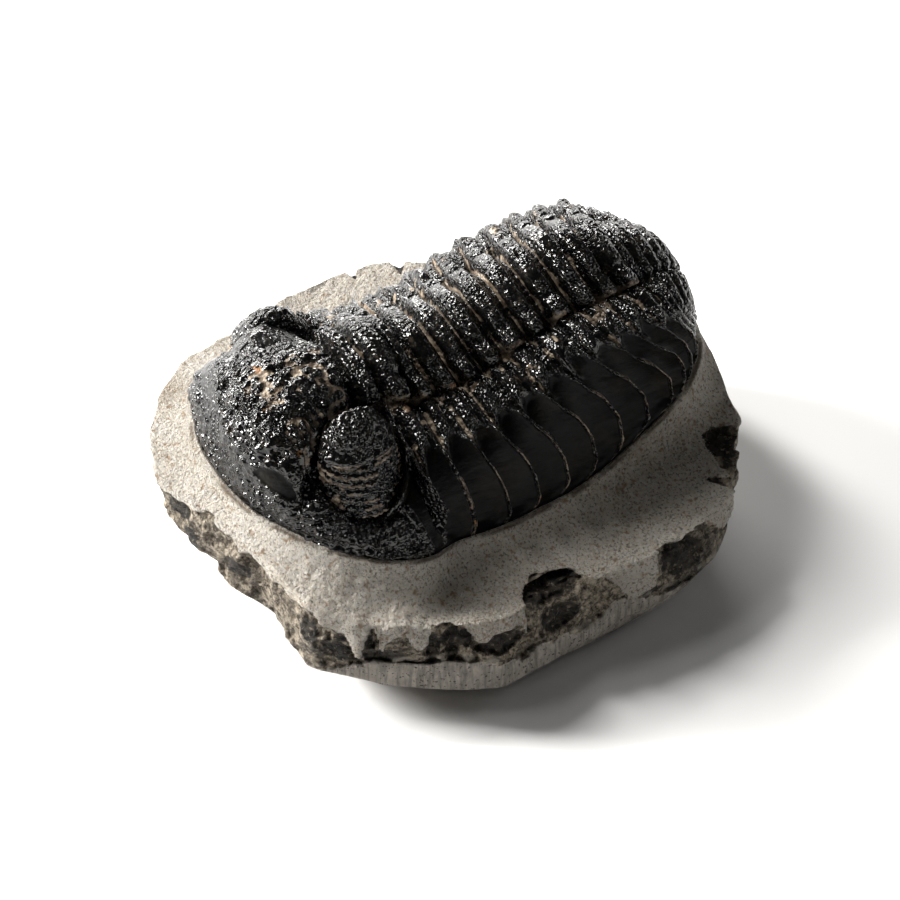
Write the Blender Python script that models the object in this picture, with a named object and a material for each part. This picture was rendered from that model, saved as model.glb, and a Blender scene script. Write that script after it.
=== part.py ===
"""Trilobite fossil on its slab of limestone.

The animal is laid out in millimetres: s runs from the front of the head to the tail, t to the animal's
side that faces +X, and z up from the height of the front border. place() turns that into metres in the
world, where the slab rests on z = 0 and the origin is the middle of the whole thing's footprint.
"""
import math

import bmesh
import bpy
import numpy as np

MM = 0.001

# Driving dimensions in millimetres
SLAB_BOTTOM = -26.0
SLAB_MIDDLE_S = 33.0
ORIGIN_S = 32.29
ORIGIN_T = 0.77
SEGMENTS = 11
CONTACT_GAP = 0.4

# Relief of the back in millimetres
RING_RELIEF = 1.1
PLEURA_RELIEF = 0.9
FACET_RELIEF = 1.5
TAIL_RELIEF = 0.55
GLABELLA_LUMP = 0.3
BORDER_RELIEF = 0.5
AXIAL_FURROW_DEPTH = 0.5
OCCIPITAL_FURROW_DEPTH = 1.3
NECK_FURROW_DEPTH = 0.8
GLABELLA_FURROW_DEPTH = 1.2

# Stations along the back, one row each: crest (s, z), axial furrow (s, t, z), shoulder (s, t, z), margin (s, t, z)
STATIONS = np.array((
    (1.3, -3.0, 1.3, 0.0, -3.0, 1.3, 0.0, -3.0, 1.3, 0.0, -3.0),
    (1.0, -1.6, 1.4, 3.5, -2.0, 1.9, 5.8, -2.9, 2.2, 6.6, -3.5),
    (0.9, 1.2, 2.4, 8.4, -1.2, 3.8, 10.8, -2.6, 4.5, 11.7, -3.9),
    (1.8, 5.8, 4.4, 12.6, -0.2, 6.4, 14.9, -2.4, 7.9, 16.2, -4.9),
    (4.6, 9.6, 7.0, 12.4, 2.6, 9.2, 17.1, -2.5, 11.3, 19.0, -5.7),
    (9.5, 11.0, 10.2, 10.0, 4.8, 12.0, 18.1, -2.8, 14.4, 20.7, -6.3),
    (14.5, 10.8, 14.0, 7.4, 5.6, 15.2, 18.1, -2.2, 17.4, 21.6, -7.0),
    (18.6, 9.5, 17.8, 6.3, 5.6, 18.6, 16.6, -0.6, 20.0, 21.3, -7.7),
    (22.3, 9.6, 21.8, 7.0, 5.0, 22.0, 14.0, 2.2, 22.0, 20.4, -8.4),
    (24.6, 8.8, 24.6, 7.5, 3.9, 24.5, 13.1, 2.2, 24.3, 19.8, -8.9),
    (30.2, 8.6, 30.2, 7.4, 3.5, 30.2, 12.9, 1.9, 30.2, 19.8, -9.4),
    (35.8, 9.6, 35.8, 7.3, 4.5, 35.8, 12.8, 2.9, 35.9, 19.5, -9.4),
    (41.5, 11.4, 41.5, 7.2, 6.3, 41.5, 12.7, 4.9, 41.6, 18.9, -9.4),
    (47.2, 12.9, 47.2, 7.2, 8.0, 47.2, 12.6, 6.6, 47.3, 17.6, -9.0),
    (52.8, 12.4, 52.8, 7.0, 7.8, 52.8, 12.4, 6.9, 53.0, 16.1, -8.0),
    (58.4, 10.8, 58.4, 6.3, 7.2, 58.4, 11.9, 6.2, 58.6, 14.5, -6.6),
    (62.2, 9.0, 62.2, 4.9, 6.8, 61.6, 10.0, 4.9, 62.2, 12.2, -5.9),
    (65.2, 6.0, 65.2, 3.6, 4.6, 64.7, 7.4, 2.6, 65.4, 8.8, -5.5),
    (67.2, 1.4, 67.2, 2.0, 0.6, 66.9, 4.3, -0.8, 66.9, 4.8, -5.2),
    (68.0, -4.8, 68.0, 0.0, -4.8, 68.0, 0.0, -4.8, 68.0, 0.0, -4.8),
))
# Stations on the axis of the furrow in front of the neck ring and of the first, second and last joint of the thorax
OCCIPITAL_FURROW = 6.9
FIRST_JOINT = 7.85
SECOND_JOINT = 9.1
LAST_JOINT = 15.0
TAIL_TIP = 19.0

# How far back the joints sweep on their way to the margin: share of the half width, shift in stations
SWEEP = np.array(((0.36, 0.0), (0.48, 0.06), (0.58, 0.11), (0.667, 0.2), (0.75, 0.38), (0.8, 0.55), (0.88, 0.73),
                  (0.95, 0.76), (1.0, 0.57)))
# How much of that sweep the first joint takes, how much more each joint behind it, and the most
SWEEP_FIRST = 0.3
SWEEP_STEP = 0.25
SWEEP_MOST = 2.2
# How far forward the middle of each ring arches, in stations
RING_ARCH = 0.3

# Ribs of the tail shield
TAIL_RIBS = 8

# Rings of the mesh along the head, within each segment as shares of it, and along the tail
HEAD_RINGS = 21
SEGMENT_RINGS = (0.04, 0.25, 0.5, 0.75, 0.94)
TAIL_RINGS = 20

# Share of the half width at which the furrow and the shoulder lie in the across coordinate
FURROW_AT = 0.36
SHOULDER_AT = 0.62

# Handles of the curve that falls from the shoulder to the margin: outward and downward
FLANK_REACH = (0.55, 0.75)
FLANK_DROP = (0.1, 0.56)

# Eye: rings from the buried foot to the top, each (z, middle t, half length along s, half width along t)
EYE_MIDDLE_S = 14.5
EYE_RINGS = (
    (-4.0, 11.6, 4.6, 4.2),
    (-1.8, 11.8, 5.0, 4.7),
    (1.0, 11.7, 5.0, 4.4),
    (3.6, 11.4, 4.9, 3.9),
    (5.8, 11.1, 4.7, 3.3),
    (7.3, 10.8, 4.2, 2.8),
    (8.6, 10.5, 3.4, 2.2),
    (9.7, 10.2, 2.0, 1.3),
)
EYE_TOP = 10.2
# Length of the eye on the other side as a share of this one's
FAR_EYE_SHARE = 0.86

# Slab rim, one row per point around it: t, s and height of the top edge, then the wall's foot: how far outside
# the edge it lies and its height, and last how far inside the edge the base ends
RIM = np.array((
    (31.2, 32.0, -12.0, 1.0, -22.0, 2.0),
    (31.6, 40.4, -12.0, 0.3, -20.6, 2.5),
    (30.8, 48.0, -12.0, 1.4, -19.6, 3.0),
    (29.4, 55.2, -12.0, 0.9, -18.5, 4.0),
    (26.8, 60.0, -11.8, -0.4, -18.0, 5.5),
    (22.6, 64.0, -11.3, -1.2, -18.0, 6.5),
    (18.4, 66.6, -11.0, -1.2, -18.0, 7.0),
    (12.4, 67.8, -10.0, -1.0, -18.0, 7.0),
    (5.5, 68.2, -9.3, -1.0, -17.5, 7.0),
    (0.0, 69.6, -8.2, -0.8, -17.0, 7.0),
    (-14.0, 66.0, -9.0, -0.5, -18.0, 6.0),
    (-23.5, 54.0, -11.2, 0.0, -19.0, 5.0),
    (-29.6, 43.5, -10.8, 0.0, -20.0, 5.0),
    (-31.2, 35.5, -10.6, 0.0, -20.0, 5.0),
    (-30.6, 28.5, -10.2, 0.0, -19.0, 6.0),
    (-27.0, 19.2, -9.0, -0.5, -18.0, 7.0),
    (-24.8, 10.5, -7.5, -1.0, -16.0, 9.0),
    (-19.2, 3.4, -6.0, -1.5, -12.5, 11.0),
    (-12.2, -1.6, -5.2, -1.5, -10.0, 13.0),
    (-5.0, -4.8, -5.2, -0.6, -9.5, 14.0),
    (1.0, -3.4, -5.8, 0.8, -10.8, 13.5),
    (4.0, -2.2, -6.4, 0.2, -11.8, 12.8),
    (7.0, -1.0, -7.0, 1.5, -13.6, 12.0),
    (10.0, 0.0, -7.5, 0.4, -14.8, 10.8),
    (13.0, 1.0, -8.0, -0.6, -16.0, 9.5),
    (16.5, 1.4, -8.6, 1.0, -16.8, 9.0),
    (20.0, 2.6, -9.0, 1.2, -18.5, 8.5),
    (25.0, 7.5, -11.0, 0.2, -20.0, 7.0),
    (28.2, 15.0, -12.0, 1.0, -22.0, 4.5),
    (31.0, 23.0, -12.0, 1.8, -22.6, 2.5),
))

# Waves of the broken edge round the rim: size in millimetres, waves round the slab, start in radians
RIM_WAVES = ((0.35, 11.0, 0.6), (0.3, 19.0, 2.1), (0.25, 29.0, 0.0))

SHELL_COLOUR = (0.022, 0.022, 0.024)
LIMESTONE_COLOUR = (0.56, 0.5, 0.42)


def remove_everything():
    for thing in list(bpy.data.objects):
        bpy.data.objects.remove(thing, do_unlink=True)


def make_collection(name):
    collection = bpy.data.collections.new(name)
    bpy.context.scene.collection.children.link(collection)
    return collection


def make_material(name, colour, roughness):
    material = bpy.data.materials.new(name)
    material.use_nodes = True
    shader = material.node_tree.nodes["Principled BSDF"]
    shader.inputs["Base Color"].default_value = (*colour, 1.0)
    shader.inputs["Roughness"].default_value = roughness
    material.diffuse_color = (*colour, 1.0)
    return material


def place(s, t, z):
    """World position in metres of points given in the animal's millimetres."""
    return np.stack((t - ORIGIN_T, s - ORIGIN_S, z - SLAB_BOTTOM), axis=-1) * MM


def smooth_step(low, high, x):
    share = np.clip((x - low) / (high - low), 0.0, 1.0)
    return share * share * (3.0 - 2.0 * share)


def band(x, middle, half_width):
    """1 at the middle, falling smoothly to 0 at half_width to either side."""
    return 1.0 - smooth_step(0.0, half_width, np.abs(x - middle))


def through_rows(rows, x):
    """Smooth curve through evenly numbered rows, read at the row numbers x."""
    start = np.clip(np.floor(x).astype(int), 0, len(rows) - 2)
    share = (x - start)[..., None]
    before = rows[np.maximum(start - 1, 0)]
    here = rows[start]
    after = rows[start + 1]
    beyond = rows[np.minimum(start + 2, len(rows) - 1)]
    slope_here = (after - before) / 2.0
    slope_after = (beyond - here) / 2.0
    return (here * (1.0 + 2.0 * share) * (1.0 - share) ** 2 + slope_here * share * (1.0 - share) ** 2
            + after * share ** 2 * (3.0 - 2.0 * share) + slope_after * share ** 2 * (share - 1.0))


def flank_curve(share, handles):
    """Cubic curve from 0 to 1 with the two given handle heights between."""
    rest = 1.0 - share
    return 3.0 * handles[0] * rest * rest * share + 3.0 * handles[1] * rest * share * share + share ** 3


def smooth_back(station, across):
    """Point of the back without its relief: across runs from -1 at one margin to 1 at the other."""
    row = through_rows(STATIONS, station)
    crest_s, crest_z = row[..., 0], row[..., 1]
    furrow_s, furrow_t, furrow_z = row[..., 2], row[..., 3], row[..., 4]
    shoulder_s, shoulder_t, shoulder_z = row[..., 5], row[..., 6], row[..., 7]
    margin_s, margin_t, margin_z = row[..., 8], row[..., 9], row[..., 10]
    side = np.abs(across)

    lobe = np.clip(side / FURROW_AT, 0.0, 1.0)
    fullness = 1.0 + 1.1 * (1.0 - smooth_step(OCCIPITAL_FURROW - 0.5, SECOND_JOINT, station))
    dome = np.cos(0.5 * math.pi * lobe ** fullness)
    s = crest_s + (furrow_s - crest_s) * lobe ** 2
    t = furrow_t * lobe
    z = furrow_z + (crest_z - furrow_z) * dome

    inner = np.clip((side - FURROW_AT) / (SHOULDER_AT - FURROW_AT), 0.0, 1.0)
    s = s + (shoulder_s - furrow_s) * inner
    t = t + (shoulder_t - furrow_t) * inner
    z = z + (shoulder_z - furrow_z) * inner + 0.5 * np.sin(math.pi * inner)

    outer = np.clip((side - SHOULDER_AT) / (1.0 - SHOULDER_AT), 0.0, 1.0)
    s = s + (margin_s - shoulder_s) * outer
    t = t + (margin_t - shoulder_t) * flank_curve(outer, FLANK_REACH)
    z = z + (margin_z - shoulder_z) * flank_curve(outer, FLANK_DROP)
    return np.stack((s, t * np.sign(across), z), axis=-1)


def outward(station, across):
    """Unit direction that points away from the body at a place on the back."""
    step = 0.02
    along = smooth_back(station + step, across) - smooth_back(station - step, across)
    left = smooth_back(station, np.maximum(across - step, -1.0))
    right = smooth_back(station, np.minimum(across + step, 1.0))
    normal = np.cross(right - left, along)
    length = np.linalg.norm(normal, axis=-1, keepdims=True)
    return -normal / np.maximum(length, 1e-9)


def segments_passed(row):
    """Segments behind the head up to a row of the mesh, which is a station on the axis: 0 at the first joint."""
    each = (LAST_JOINT - SECOND_JOINT) / (SEGMENTS - 1)
    return np.where(row > SECOND_JOINT, 1.0 + (row - SECOND_JOINT) / each,
                    (row - FIRST_JOINT) / (SECOND_JOINT - FIRST_JOINT))


def swept_station(row, side):
    """Station that a row of the mesh has reached at a share of the half width."""
    most = np.minimum(SWEEP_FIRST + SWEEP_STEP * np.maximum(segments_passed(row), 0.0), SWEEP_MOST)
    in_head = smooth_step(FIRST_JOINT - 3.0, FIRST_JOINT, row)
    in_tail = 1.0 - np.clip((row - LAST_JOINT) / (TAIL_TIP - LAST_JOINT), 0.0, 1.0)
    in_rings = smooth_step(OCCIPITAL_FURROW, FIRST_JOINT, row) * in_tail
    arch = RING_ARCH * np.clip(1.0 - (side / FURROW_AT) ** 2, 0.0, 1.0) * in_rings
    return row - arch + np.interp(side, SWEEP[:, 0], SWEEP[:, 1]) * most * in_head * in_tail


def thorax_relief(row, side):
    phase = segments_passed(row) % 1.0
    ring = RING_RELIEF * (1.0 - np.abs(2.0 * phase - 1.0) ** 3)
    ribs = PLEURA_RELIEF * np.abs(np.sin(2.0 * math.pi * phase)) ** 0.7
    facet = FACET_RELIEF * phase ** 1.5
    on_lobe = 1.0 - smooth_step(FURROW_AT - 0.06, FURROW_AT, side)
    on_facet = smooth_step(SHOULDER_AT + 0.02, SHOULDER_AT + 0.14, side)
    pleura = ribs * (1.0 - on_facet) + facet * on_facet
    return ring * on_lobe + pleura * (1.0 - on_lobe)


def tail_relief(row, side):
    share = (row - LAST_JOINT) / (TAIL_TIP - LAST_JOINT)
    rib = np.abs(np.sin(math.pi * TAIL_RIBS * share))
    return TAIL_RELIEF * rib * (1.0 - smooth_step(0.6, 0.85, share)) * (1.0 - 0.4 * smooth_step(SHOULDER_AT, 1.0, side))


def head_relief(row, side):
    inner_side = 1.0 - smooth_step(FURROW_AT, SHOULDER_AT, side)
    occipital = -OCCIPITAL_FURROW_DEPTH * band(row, OCCIPITAL_FURROW, 0.35) * inner_side
    neck = -NECK_FURROW_DEPTH * band(row, FIRST_JOINT, 0.35) * (1.0 - 0.7 * smooth_step(SHOULDER_AT, 1.0, side))
    glabella = (1.0 - smooth_step(FURROW_AT - 0.08, FURROW_AT, side)) * (1.0 - smooth_step(6.0, 6.6, row))
    lumps = GLABELLA_LUMP * np.sin(9.0 * row) * np.sin(41.0 * side + 3.0 * row)
    border = BORDER_RELIEF * band(side, 0.93, 0.08)
    beside_glabella = -GLABELLA_FURROW_DEPTH * band(side, FURROW_AT + 0.02, 0.09) * band(row, 5.2, 2.2)
    return (occipital + neck + glabella * lumps + border + beside_glabella) * smooth_step(0.3, 1.5, row)


def relief(row, across):
    """Height in millimetres that segments, ribs, furrows and lumps add to the smooth back."""
    side = np.abs(across)
    height = np.where(row < FIRST_JOINT, head_relief(row, side), thorax_relief(row, side))
    height = np.where(row > LAST_JOINT, tail_relief(row, side), height)
    height = height - AXIAL_FURROW_DEPTH * band(side, FURROW_AT, 0.08) * smooth_step(1.0, 3.0, row)
    return height * (1.0 - smooth_step(0.93, 1.0, side))


def back(row, across):
    station = np.minimum(swept_station(row, np.abs(across)), TAIL_TIP - 0.03)
    return smooth_back(station, across) + outward(station, across) * relief(row, across)[..., None]


def sphere_grid(columns, rings):
    """UV sphere as a bmesh, with the ring and column number of each vertex; columns is a multiple of four."""
    form = bmesh.new()
    bmesh.ops.create_uvsphere(form, u_segments=columns, v_segments=rings, radius=1.0)
    points = np.array([vertex.co for vertex in form.verts])
    ring = np.rint(np.arccos(np.clip(points[:, 2], -1.0, 1.0)) / math.pi * rings).astype(int)
    column = np.rint(np.arctan2(points[:, 1], points[:, 0]) / (2.0 * math.pi) * columns).astype(int) % columns
    return form, ring, column


def finish_form(form, points, name, collection, material):
    """Moves the vertices to points, turns the faces outward and makes the named object."""
    for vertex, point in zip(form.verts, points):
        vertex.co = point
    bmesh.ops.recalc_face_normals(form, faces=form.faces)
    mesh = bpy.data.meshes.new(name)
    form.to_mesh(mesh)
    form.free()
    mesh.materials.append(material)
    piece = bpy.data.objects.new(name, mesh)
    collection.objects.link(piece)
    return piece


def body_rings():
    """Row number, which is a station on the axis, of each ring of the body between the two poles."""
    head = np.linspace(0.2, FIRST_JOINT, HEAD_RINGS, endpoint=False)
    phases = np.array(SEGMENT_RINGS)
    first = FIRST_JOINT + (SECOND_JOINT - FIRST_JOINT) * phases
    each = (LAST_JOINT - SECOND_JOINT) / (SEGMENTS - 1)
    others = [SECOND_JOINT + each * (number + phases) for number in range(SEGMENTS - 1)]
    tail = np.linspace(LAST_JOINT, TAIL_TIP - 0.35, TAIL_RINGS)
    return np.concatenate((head, first, *others, tail))


def body_form(collection, material):
    """Head, thorax and tail as one sphere whose rings are moved to the cross sections of the body."""
    rows = body_rings()
    half = np.concatenate((np.linspace(0.0, FURROW_AT, 5)[:-1], np.linspace(FURROW_AT, SHOULDER_AT, 4)[:-1],
                           np.linspace(SHOULDER_AT, 1.0, 6)))
    across = np.concatenate((-half[:0:-1], half))
    under = np.linspace(1.0, -1.0, 9)[1:-1]
    form, ring, column = sphere_grid(len(across) + len(under), len(rows) + 1)

    row = np.concatenate(((0.03,), rows, (TAIL_TIP - 0.03,)))[ring]
    on_back = column < len(across)
    side_position = np.concatenate((across, under))[column]
    top = back(row, side_position)
    margin = smooth_back(swept_station(row, 1.0), np.ones_like(row))
    bottom = np.stack((margin[:, 0], margin[:, 1] * side_position, margin[:, 2]), axis=-1)
    points = np.where(on_back[:, None], top, bottom)
    pole = smooth_back(np.where(ring == 0, 0.0, TAIL_TIP), np.ones_like(row))
    at_pole = (ring == 0) | (ring == len(rows) + 1)
    points = np.where(at_pole[:, None], pole, points)
    return finish_form(form, place(points[:, 0], points[:, 1], points[:, 2]), "trilobite", collection, material)


def eye_form(side, collection, material):
    """One compound eye: a kidney-shaped turret that leans in towards its lid."""
    levels = np.array(EYE_RINGS)
    columns = 20
    form, ring, column = sphere_grid(columns, len(levels) + 1)
    level = levels[np.clip(len(levels) - ring, 0, len(levels) - 1)]
    angle = column / columns * 2.0 * math.pi
    inner_side = np.clip(-np.cos(angle), 0.0, 1.0)
    at_pole = (ring == 0) | (ring == len(levels) + 1)
    reach = np.where(at_pole, 0.0, 1.0)
    length = 1.0 if side > 0.0 else FAR_EYE_SHARE
    s = EYE_MIDDLE_S + length * level[:, 2] * np.sin(angle) * reach
    t = level[:, 1] + level[:, 3] * np.cos(angle) * (1.0 - 0.35 * inner_side) * reach
    z = np.where(ring == 0, EYE_TOP, level[:, 0])
    z = np.where(ring == len(levels) + 1, levels[0, 0] - 0.5, z)
    return finish_form(form, place(s, t * side, z), "eye", collection, material)


def join_into(piece, other):
    """Fuses another form into a piece for good."""
    union = piece.modifiers.new("fuse", "BOOLEAN")
    union.operation = "UNION"
    union.solver = "EXACT"
    union.object = other
    bpy.context.view_layer.update()
    fused = bpy.data.meshes.new_from_object(piece.evaluated_get(bpy.context.evaluated_depsgraph_get()))
    piece.modifiers.clear()
    piece.data = fused
    bpy.data.objects.remove(other, do_unlink=True)


def build_trilobite(collection):
    material = make_material("black_shell", SHELL_COLOUR, 0.38)
    body = body_form(collection, material)
    for side in (1.0, -1.0):
        join_into(body, eye_form(side, collection, material))
    return body


def fossil_outline(angle):
    """Distance from the slab's middle and height of the fossil's lower edge, in a direction round the slab."""
    stations = np.linspace(0.0, TAIL_TIP, 400)
    edge = smooth_back(stations, np.ones_like(stations))
    edge_angle = np.arctan2(edge[:, 0] - SLAB_MIDDLE_S, edge[:, 1])
    order = np.argsort(edge_angle)
    distance = np.hypot(edge[:, 0] - SLAB_MIDDLE_S, edge[:, 1])
    mirrored = np.arctan2(np.sin(angle), np.abs(np.cos(angle)))
    return (np.interp(mirrored, edge_angle[order], distance[order]),
            np.interp(mirrored, edge_angle[order], edge[order, 2]))


def underside_height(s):
    """Height of the fossil's flat underside above the slab at a distance s along the body."""
    stations = np.linspace(0.0, TAIL_TIP, 400)
    edge = smooth_back(stations, np.ones_like(stations))
    order = np.argsort(edge[:, 0])
    return np.interp(s, edge[order, 0], edge[order, 2])


def rim_at(angle):
    """Radius, height, foot overhang, foot height and base inset of the slab's rim in a direction round it."""
    rim_angle = np.arctan2(RIM[:, 1] - SLAB_MIDDLE_S, RIM[:, 0])
    radius = np.hypot(RIM[:, 1] - SLAB_MIDDLE_S, RIM[:, 0])
    columns = (radius, RIM[:, 2], RIM[:, 3], RIM[:, 4], RIM[:, 5])
    return [np.interp(angle, rim_angle, values, period=2.0 * math.pi) for values in columns]


def broken_edge(angle):
    """Outward offset in millimetres of the broken rock along the rim."""
    return sum(size * np.sin(waves * angle + start) for size, waves, start in RIM_WAVES)


def slab_form(collection, material):
    """Limestone slab as one sphere with its poles up and down, moved to plateau, shelf, rim, wall and base."""
    columns = 72
    plateau = (0.3, 0.6, 0.85, 0.985)
    shelf = (0.12, 0.35, 0.65, 0.88, 1.0)
    wall = ((0.55, 0.22), (0.9, 0.5), (1.0, 0.78), (1.0, 1.0))
    base = (0.35, 0.7, 1.0)
    floor = (0.8, 0.4)
    rings = len(plateau) + len(shelf) + len(wall) + len(base) + len(floor) + 1
    form, ring, column = sphere_grid(columns, rings)

    angle = column / columns * 2.0 * math.pi
    fossil_radius, fossil_height = fossil_outline(angle)
    rim_radius, rim_height, foot_reach, foot_height, inset = rim_at(angle)
    foot_radius = rim_radius + foot_reach
    base_radius = rim_radius - inset
    radius = np.zeros(len(ring))
    height = np.full(len(ring), SLAB_BOTTOM)

    number = 0
    at_top = ring == number
    height[at_top] = underside_height(np.array(SLAB_MIDDLE_S)) - CONTACT_GAP
    for share in plateau:
        number += 1
        here = ring == number
        radius[here] = fossil_radius[here] * share
        height[here] = underside_height(SLAB_MIDDLE_S + radius[here] * np.sin(angle[here])) - CONTACT_GAP
    edge_radius = fossil_radius * plateau[-1]
    edge_height = underside_height(SLAB_MIDDLE_S + edge_radius * np.sin(angle)) - CONTACT_GAP
    for share in shelf:
        number += 1
        here = ring == number
        radius[here] = (edge_radius + (rim_radius - edge_radius) * share)[here]
        fall = edge_height + (rim_height - edge_height) * share ** 0.8
        height[here] = (fall - 0.8 * math.sin(math.pi * share))[here]
    for reach, share in wall:
        number += 1
        here = ring == number
        radius[here] = (rim_radius + foot_reach * reach + broken_edge(angle) * (1.0 - share))[here]
        height[here] = (rim_height + (foot_height - rim_height) * share)[here]
    for share in base:
        number += 1
        here = ring == number
        radius[here] = (foot_radius + (base_radius - foot_radius) * share ** 1.3)[here]
        height[here] = (foot_height + (SLAB_BOTTOM - foot_height) * share)[here]
    for share in floor:
        number += 1
        here = ring == number
        radius[here] = (base_radius * share)[here]

    s = SLAB_MIDDLE_S + radius * np.sin(angle)
    t = radius * np.cos(angle)
    return finish_form(form, place(s, t, height), "matrix", collection, material)


def build_matrix(collection):
    material = make_material("limestone", LIMESTONE_COLOUR, 0.9)
    return slab_form(collection, material)


def main():
    remove_everything()
    collection = make_collection("trilobite_fossil")
    build_matrix(collection)
    build_trilobite(collection)


main()
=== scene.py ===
"""Looks of the trilobite fossil on its slab of limestone.

The forms follow the same formulas as the solids, at a much finer pitch, in the animal's millimetres: s runs
from the front of the head to the tail, t to the side that faces +X, and z up from the front border. A point
of the back is given by its row, which is a station on the axis, and by its share of the half width: across,
from -1 to 1, or side where both sides are alike.
"""
import math

import bpy
import numpy as np
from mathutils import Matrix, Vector

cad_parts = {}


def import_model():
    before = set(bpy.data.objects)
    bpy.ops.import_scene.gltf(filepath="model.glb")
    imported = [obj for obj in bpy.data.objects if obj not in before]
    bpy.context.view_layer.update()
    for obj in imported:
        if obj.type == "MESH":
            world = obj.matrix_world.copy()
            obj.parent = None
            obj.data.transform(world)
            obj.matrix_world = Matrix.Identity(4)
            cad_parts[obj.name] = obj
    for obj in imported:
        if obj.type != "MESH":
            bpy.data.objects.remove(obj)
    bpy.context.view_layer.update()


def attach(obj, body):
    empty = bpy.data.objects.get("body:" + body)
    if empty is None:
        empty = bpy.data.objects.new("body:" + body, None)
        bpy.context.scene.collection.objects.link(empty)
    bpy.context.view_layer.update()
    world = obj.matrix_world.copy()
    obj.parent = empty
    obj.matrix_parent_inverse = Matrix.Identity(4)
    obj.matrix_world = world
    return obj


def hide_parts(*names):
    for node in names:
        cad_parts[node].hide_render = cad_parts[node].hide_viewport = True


MM = 0.001

# Driving dimensions in millimetres, the same as the solids have
SLAB_BOTTOM = -26.0
SLAB_MIDDLE_S = 33.0
ORIGIN_S = 32.29
ORIGIN_T = 0.77
SEGMENTS = 11

# Stations along the back, one row each: crest (s, z), then axial furrow, shoulder and margin (each s, t, z)
STATIONS = np.array((
    (1.3, -3, 1.3, 0, -3, 1.3, 0, -3, 1.3, 0, -3),
    (1, -1.6, 1.4, 3.5, -2, 1.9, 5.8, -2.9, 2.2, 6.6, -3.5),
    (0.9, 1.2, 2.4, 8.4, -1.2, 3.8, 10.8, -2.6, 4.5, 11.7, -3.9),
    (1.8, 5.8, 4.4, 12.6, -0.2, 6.4, 14.9, -2.4, 7.9, 16.2, -4.9),
    (4.6, 9.6, 7, 12.4, 2.6, 9.2, 17.1, -2.5, 11.3, 19, -5.7),
    (9.5, 11, 10.2, 10, 4.8, 12, 18.1, -2.8, 14.4, 20.7, -6.3),
    (14.5, 10.8, 14, 7.4, 5.6, 15.2, 18.1, -2.2, 17.4, 21.6, -7),
    (18.6, 9.5, 17.8, 6.3, 5.6, 18.6, 16.6, -0.6, 20, 21.3, -7.7),
    (22.3, 9.6, 21.8, 7, 5, 22, 14, 2.2, 22, 20.4, -8.4),
    (24.6, 8.8, 24.6, 7.5, 3.9, 24.5, 13.1, 2.2, 24.3, 19.8, -8.9),
    (30.2, 8.6, 30.2, 7.4, 3.5, 30.2, 12.9, 1.9, 30.2, 19.8, -9.4),
    (35.8, 9.6, 35.8, 7.3, 4.5, 35.8, 12.8, 2.9, 35.9, 19.5, -9.4),
    (41.5, 11.4, 41.5, 7.2, 6.3, 41.5, 12.7, 4.9, 41.6, 18.9, -9.4),
    (47.2, 12.9, 47.2, 7.2, 8, 47.2, 12.6, 6.6, 47.3, 17.6, -9),
    (52.8, 12.4, 52.8, 7, 7.8, 52.8, 12.4, 6.9, 53, 16.1, -8),
    (58.4, 10.8, 58.4, 6.3, 7.2, 58.4, 11.9, 6.2, 58.6, 14.5, -6.6),
    (62.2, 9, 62.2, 4.9, 6.8, 61.6, 10, 4.9, 62.2, 12.2, -5.9),
    (65.2, 6, 65.2, 3.6, 4.6, 64.7, 7.4, 2.6, 65.4, 8.8, -5.5),
    (67.2, 1.4, 67.2, 2, 0.6, 66.9, 4.3, -0.8, 66.9, 4.8, -5.2),
    (68, -4.8, 68, 0, -4.8, 68, 0, -4.8, 68, 0, -4.8),
))

# Stations on the axis: neck furrow, first, second and last joint of the thorax, and the tail's tip, and how
# far the mesh stops short of either end
NECK_FURROW = 6.9
FIRST_JOINT = 7.85
SECOND_JOINT = 9.1
LAST_JOINT = 15.0
TAIL_TIP = 19.0
END_INSET = 0.03

# How far back the joints sweep on their way to the margin: share of the half width, and share of a joint's
# whole shift; then that shift at the first joint, its growth per segment, its limit and the lead in the head
SWEEP = np.array((
    (0.36, 0), (0.48, 0.06), (0.58, 0.11), (0.667, 0.2), (0.75, 0.38), (0.8, 0.55), (0.88, 0.73),
    (0.95, 0.76), (1, 0.57),
))
SWEEP_FIRST = 0.3
SWEEP_STEP = 0.25
SWEEP_MOST = 2.2
SWEEP_LEAD = 3.0

# How far forward the middle of each ring arches, in stations
RING_ARCH = 0.3

# Share of the half width at which the furrow and the shoulder lie
FURROW_AT = 0.36
SHOULDER_AT = 0.62

# Handles of the curve that falls from the shoulder to the margin: outward and downward
FLANK_REACH = (0.55, 0.75)
FLANK_DROP = (0.1, 0.56)

# How much fuller the head's middle is than a plain arch, and the rise between furrow and shoulder
HEAD_FULLNESS = 1.1
INNER_ARCH = 0.5

# Relief of the thorax: rings with a node near each end, ribs, and the facet and rim of a side plate
RING_RISE = 1.9
NODE_SIDE = 0.3
NODE_HALF_WIDTH = 0.06
NODE_RISE = 0.6
RIB_RISE = 1.8
REAR_RIB_RISE = 0.8
FACET_FRONT = -0.75
FACET_RISE = 1.35
RIM_RISE = 0.42

# Relief of the tail and of the head
TAIL_RINGS = 8.0
TAIL_RISE = 0.8
NECK_FURROW_DEPTH = 1.5
NECK_RING_RISE = 1.1
CHEEK_RIDGE_RISE = 1.5
EYE_RIDGE_RISE = 1.7
EYE_HOLLOW_DEPTH = 1.2
FAR_STEP_RISE = 3.3
SCAR_DEPTH = 0.12
AXIAL_FURROW_DEPTH = 0.4

# The flat underside: how far it reaches as a share of the half width, and how far below the margin it lies
UNDERSIDE_REACH = 0.97
UNDERSIDE_DROP = 0.3

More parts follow.
